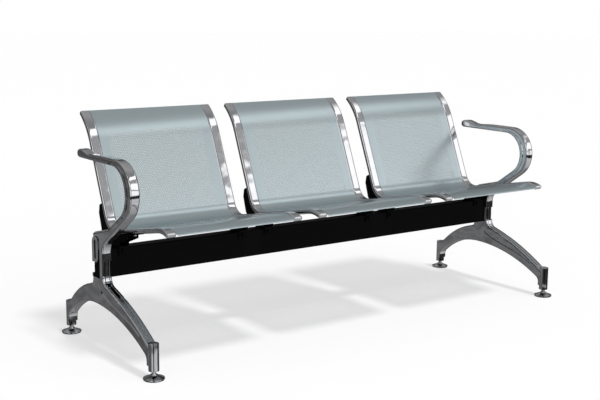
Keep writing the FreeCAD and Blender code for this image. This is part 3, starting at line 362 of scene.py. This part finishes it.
class Surface:
    """A node material on Object coordinates, with short calls for its nodes."""

    def __init__(self, name):
        self.material = bpy.data.materials.new(name)
        self.material.use_nodes = True
        self.tree = self.material.node_tree
        self.shader = self.tree.nodes["Principled BSDF"]
        self.place = self.tree.nodes.new("ShaderNodeTexCoord").outputs["Object"]

    def set(self, **values):
        """Plain values on the shader's own sockets; a low line in a name stands for a blank."""
        for name, value in values.items():
            self.shader.inputs[name.replace("_", " ")].default_value = value

    def noise(self, size, detail=3.0):
        """Noise whose main features are about size metres wide."""
        node = add_node(self.tree, "ShaderNodeTexNoise", {
            "Vector": self.place, "Scale": 1.0 / size, "Detail": detail, "Roughness": NOISE_ROUGHNESS})
        return node.outputs["Fac"]

    def colour(self, noise, colour, low, high):
        """A base colour whose brightness goes with the noise, from low to high times its own."""
        first, second = [(*[min(1.0, part * share) for part in colour], 1.0) for share in (low, high)]
        self.tree.links.new(mix_colours(self.tree, noise, first, second), self.shader.inputs["Base Color"])

    def roughness(self, noise, low, high):
        """A roughness that goes with the noise, from low to high."""
        node = add_node(self.tree, "ShaderNodeMapRange", {
            "Value": noise, "From Min": NOISE_LOW, "From Max": NOISE_HIGH, "To Min": low, "To Max": high})
        self.tree.links.new(node.outputs["Result"], self.shader.inputs["Roughness"])

    def bump(self, noise, distance, strength=1.0):
        """A surface that the noise raises, by up to a distance in metres."""
        node = add_node(self.tree, "ShaderNodeBump", {
            "Height": noise, "Distance": distance, "Strength": strength})
        self.tree.links.new(node.outputs["Normal"], self.shader.inputs["Normal"])


def seat_coat(colour):
    """Silver powder coat: a metallic base with an even gloss and faint clouds."""
    surface = Surface("seat silver coat")
    surface.set(Metallic=0.8)
    surface.colour(surface.noise(0.05, detail=2.0), colour, low=0.99, high=1.01)
    surface.roughness(surface.noise(0.03), low=0.28, high=0.31)
    return surface.material


def painted_hole_shade(colour):
    """Painted shade on the walls of the punched holes: the coat's colour darkened to a few hundredths of
    itself, for the shade that falls inside them.
    """
    surface = Surface("punched hole painted shade")
    surface.set(Metallic=0.5)
    # Painted shade: the coat's colour darkened to four to eight hundredths of itself.
    surface.colour(surface.noise(0.01), colour, low=0.04, high=0.08)
    surface.roughness(surface.noise(0.02), low=0.5, high=0.6)
    return surface.material


def bright_plate(name, tint, waviness, roughness):
    """Bright plating on polished metal, with the slow waviness of the metal beneath."""
    surface = Surface(name)
    surface.set(Metallic=1.0)
    surface.colour(surface.noise(0.05), tint, low=0.96, high=1.04)
    surface.roughness(surface.noise(0.02, detail=4.0), low=roughness * 0.8, high=roughness * 1.4)
    surface.bump(surface.noise(0.06, detail=1.0), distance=waviness)
    return surface.material


def dark_coat(name, colour, roughness, grain):
    """Black powder coat with its fine grain."""
    surface = Surface(name)
    surface.set(Specular_IOR_Level=0.05)
    surface.colour(surface.noise(0.004), colour, low=0.8, high=1.5)
    surface.roughness(surface.noise(0.02), low=roughness, high=roughness + 0.08)
    surface.bump(surface.noise(grain, detail=2.0), distance=0.00008, strength=0.5)
    return surface.material


def rubber(colour):
    """Dull moulded rubber with a little dust."""
    surface = Surface("foot rubber")
    surface.colour(surface.noise(0.006), colour, low=0.8, high=1.8)
    surface.roughness(surface.noise(0.01), low=0.6, high=0.8)
    surface.bump(surface.noise(0.0008), distance=0.0001, strength=0.5)
    return surface.material


def zinc(tint):
    """Zinc plating on bolts and nuts, a little cloudy."""
    surface = Surface("zinc plating")
    surface.set(Metallic=1.0)
    surface.colour(surface.noise(0.004), tint, low=0.8, high=1.05)
    surface.roughness(surface.noise(0.003), low=0.25, high=0.42)
    return surface.material


def nodes_named(*parts):
    """The kept CAD nodes whose names hold one of the parts."""
    return [piece for name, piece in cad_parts.items() if any(part in name for part in parts)]


def dress(pieces, material):
    """Gives the pieces a material in the place of their own."""
    for piece in pieces:
        piece.data.materials.clear()
        piece.data.materials.append(material)


# Stage

def add_floor(scene):
    """A pale floor, wide enough to reach the horizon in every view. The camera sees a share of its
    white without any light on it, and polished metal doesn't mirror it."""
    surface = Surface("studio floor")
    surface.set(Roughness=0.9, Specular_IOR_Level=0.1)
    surface.colour(surface.noise(0.6), scene.bench_finishes.floor, low=0.995, high=1.005)
    tree = surface.tree
    rays = tree.nodes.new("ShaderNodeLightPath")
    glow = tree.nodes.new("ShaderNodeEmission")
    lift = add_node(tree, "ShaderNodeMath", {0: rays.outputs["Is Camera Ray"], 1: FLOOR_LIFT},
                    operation="MULTIPLY")
    blend = add_node(tree, "ShaderNodeMixShader", {
        0: lift.outputs["Value"], 1: surface.shader.outputs["BSDF"], 2: glow.outputs["Emission"]})
    tree.links.new(blend.outputs["Shader"], tree.nodes["Material Output"].inputs["Surface"])

    mesh = bpy.data.meshes.new("studio floor")
    corners = [(x * FLOOR_REACH, y * FLOOR_REACH, 0.0) for x, y in ((-1, -1), (1, -1), (1, 1), (-1, 1))]
    mesh.from_pydata(corners, [], [(0, 1, 2, 3)])
    mesh.materials.append(surface.material)
    floor = bpy.data.objects.new("studio_floor", mesh)
    floor.visible_glossy = False
    scene.collection.objects.link(floor)


def studio_levels(tree, share, stops):
    """A grey that goes through the stops, for one part of the direction from -1 to 1."""
    place = add_node(tree, "ShaderNodeMapRange", {"Value": share, "From Min": -1.0})
    levels = add_node(tree, "ShaderNodeValToRGB", {"Fac": place.outputs["Result"]})
    ramp = levels.color_ramp
    while len(ramp.elements) < len(stops):
        ramp.elements.new(0.5)
    for element, (value, level) in zip(ramp.elements, stops):
        element.position = (value + 1.0) / 2
        element.color = (level, level, level, 1.0)
    return levels.outputs["Color"]


def add_surroundings(scene):
    """The camera sees white all round. Light and reflections come from a studio: bright walls with
    dark gaps in front of the bench, a dimmer ceiling, and a dim room behind."""
    world = bpy.data.worlds.new("studio")
    scene.world = world
    world.use_nodes = True
    tree = world.node_tree
    place = tree.nodes.new("ShaderNodeTexCoord")
    split = add_node(tree, "ShaderNodeSeparateXYZ", {"Vector": place.outputs["Generated"]})
    across, depth, rise = split.outputs["X"], split.outputs["Y"], split.outputs["Z"]
    front = mix_colours(tree, 1.0, studio_levels(tree, rise, STUDIO_FRONT),
                        studio_levels(tree, across, STUDIO_ACROSS), blend="MULTIPLY")
    rear = studio_levels(tree, rise, STUDIO_REAR)
    behind = add_node(tree, "ShaderNodeMapRange", {
        "Value": depth, "From Min": STUDIO_FRONT_END, "From Max": STUDIO_REAR_START})
    room = mix_colours(tree, behind.outputs["Result"], front, rear)
    rays = tree.nodes.new("ShaderNodeLightPath")
    seen = mix_colours(tree, rays.outputs["Is Camera Ray"], room, (1.0, 1.0, 1.0, 1.0))
    tree.links.new(seen, tree.nodes["Background"].inputs["Color"])


def add_lamp(scene):
    """A high soft lamp that draws the shadows, and that polished metal doesn't mirror; the studio
    gives the highlights."""
    lamp = bpy.data.lights.new("key lamp", "SUN")
    lamp.energy = LAMP_STRENGTH
    lamp.angle = LAMP_ANGLE
    holder = bpy.data.objects.new("key lamp", lamp)
    holder.rotation_euler = Vector(LAMP_DIRECTION).to_track_quat("Z", "Y").to_euler()
    holder.visible_glossy = False
    scene.collection.objects.link(holder)


def add_camera(scene):
    """The camera at the photograph's place, turned by its azimuth, drop and roll."""
    right = Vector((math.cos(CAMERA_AZIMUTH), math.sin(CAMERA_AZIMUTH), 0.0))
    back = Vector((math.sin(CAMERA_AZIMUTH) * math.cos(CAMERA_DROP),
                   -math.cos(CAMERA_AZIMUTH) * math.cos(CAMERA_DROP), math.sin(CAMERA_DROP)))
    up = back.cross(right)
    turned_right = right * math.cos(CAMERA_ROLL) + up * math.sin(CAMERA_ROLL)
    turned_up = -right * math.sin(CAMERA_ROLL) + up * math.cos(CAMERA_ROLL)
    camera = bpy.data.cameras.new("camera")
    camera.lens = CAMERA_LENS
    camera.sensor_width = SENSOR_WIDTH
    holder = bpy.data.objects.new("camera", camera)
    holder.matrix_world = Matrix.Translation(CAMERA_PLACE) @ Matrix(
        (turned_right, turned_up, back)).transposed().to_4x4()
    scene.collection.objects.link(holder)
    scene.camera = holder


# Operators

class BENCH_OT_seat_sheets(bpy.types.Operator):
    """Builds the perforated sheet of each seat, in the place of the plain one"""

    bl_idname = "bench.seat_sheets"
    bl_label = "Seat Sheets"

    def execute(self, context):
        sizes = context.scene.bench_sheet
        colour = context.scene.bench_finishes.seat_coat
        # The edge material is painted shade for the walls of the holes.
        coat, edge = seat_coat(colour), painted_hole_shade(colour)
        line = seat_line()
        for seat in SEATS:
            node = seat + "_sheet"
            low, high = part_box(node)
            for part, rows in (("pan", pan_rows), ("back", back_rows)):
                sheet = perforated_sheet(f"{seat}_{part}_sheet", (low.x + high.x) / 2,
                                         (high.x - low.x) / 2, line, rows(line.ends, sizes), sizes)
                sheet.data.materials.append(coat)
                sheet.data.materials.append(edge)
                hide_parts(node)
                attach(sheet, "frame")
        return {"FINISHED"}


class BENCH_OT_bright_castings(bpy.types.Operator):
    """Gives the legs and the arms their bright plating"""

    bl_idname = "bench.bright_castings"
    bl_label = "Legs and Arms"

    def execute(self, context):
        plating = bright_plate("casting plating", context.scene.bench_finishes.bright_metal,
                               waviness=0.0025, roughness=0.07)
        dress(nodes_named("leg_left", "leg_right", "arm_left", "arm_right"), plating)
        return {"FINISHED"}


class BENCH_OT_trims(bpy.types.Operator):
    """Gives the side trims their bright plating"""

    bl_idname = "bench.trims"
    bl_label = "Side Trims"

    def execute(self, context):
        plating = bright_plate("trim plating", context.scene.bench_finishes.bright_metal,
                               waviness=0.0012, roughness=0.08)
        dress(nodes_named("_trim_"), plating)
        return {"FINISHED"}


class BENCH_OT_beam(bpy.types.Operator):
    """Gives the beam, its end caps, the brackets and the saddles their black finish"""

    bl_idname = "bench.beam"
    bl_label = "Beam and Brackets"

    def execute(self, context):
        colour = context.scene.bench_finishes.dark_coat
        dress([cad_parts["beam"]], dark_coat("beam coat", colour, roughness=0.42, grain=0.0012))
        dress(nodes_named("_bracket_", "_saddle_"),
              dark_coat("bracket coat", colour, roughness=0.4, grain=0.001))
        dress(nodes_named("beam_cap"), dark_coat("cap plastic", colour, roughness=0.5, grain=0.0006))
        return {"FINISHED"}


class BENCH_OT_feet(bpy.types.Operator):
    """Gives the levelling feet their plating and rubber"""

    bl_idname = "bench.feet"
    bl_label = "Levelling Feet"

    def execute(self, context):
        finishes = context.scene.bench_finishes
        plating = bright_plate("foot plating", finishes.bright_metal, waviness=0.0001, roughness=0.12)
        dress(nodes_named("_disc", "_stud"), plating)
        dress(nodes_named("_pad"), rubber(finishes.rubber))
        return {"FINISHED"}


class BENCH_OT_fasteners(bpy.types.Operator):
    """Gives the bolts and nuts of brackets and saddles a blackened finish, and the others zinc"""

    bl_idname = "bench.fasteners"
    bl_label = "Fasteners"

    def execute(self, context):
        finishes = context.scene.bench_finishes
        dress(nodes_named("bracket_bolts", "bracket_nuts", "saddle_bolts", "saddle_nuts"),
              dark_coat("blackened steel", finishes.dark_coat, roughness=0.3, grain=0.002))
        dress(nodes_named("pan_bolts", "pan_nuts", "trim_screws", "leg_bolts"),
              zinc(finishes.bright_metal))
        return {"FINISHED"}


class BENCH_OT_stage(bpy.types.Operator):
    """Adds the studio floor, the surroundings, the lamp and the camera"""

    bl_idname = "bench.stage"
    bl_label = "Studio and Camera"

    def execute(self, context):
        scene = context.scene
        add_floor(scene)
        add_surroundings(scene)
        add_lamp(scene)
        add_camera(scene)
        scene.view_settings.view_transform = "Standard"
        return {"FINISHED"}


class VIEW3D_PT_beam_seating(bpy.types.Panel):
    """Lists the bench's pieces, sizes and colours"""

    bl_label = "Beam Seating"
    bl_space_type = "VIEW_3D"
    bl_region_type = "UI"
    bl_category = "Beam Seating"

    def draw(self, context):
        layout = self.layout
        for group in (context.scene.bench_sheet, context.scene.bench_finishes):
            box = layout.box()
            for name in group.__annotations__:
                box.prop(group, name)
        for operator in OPERATORS:
            layout.operator(operator.bl_idname)


OPERATORS = (BENCH_OT_seat_sheets, BENCH_OT_bright_castings, BENCH_OT_trims, BENCH_OT_beam,
             BENCH_OT_feet, BENCH_OT_fasteners, BENCH_OT_stage)
CLASSES = (SheetSizes, Finishes, *OPERATORS, VIEW3D_PT_beam_seating)


def register():
    for item in CLASSES:
        bpy.utils.register_class(item)
    bpy.types.Scene.bench_sheet = bpy.props.PointerProperty(type=SheetSizes)
    bpy.types.Scene.bench_finishes = bpy.props.PointerProperty(type=Finishes)


def unregister():
    del bpy.types.Scene.bench_finishes
    del bpy.types.Scene.bench_sheet
    for item in reversed(CLASSES):
        bpy.utils.unregister_class(item)


def main():
    register()
    bpy.ops.bench.seat_sheets()
    bpy.ops.bench.bright_castings()
    bpy.ops.bench.trims()
    bpy.ops.bench.beam()
    bpy.ops.bench.feet()
    bpy.ops.bench.fasteners()
    bpy.ops.bench.stage()


if __name__ == "__main__":
    main()
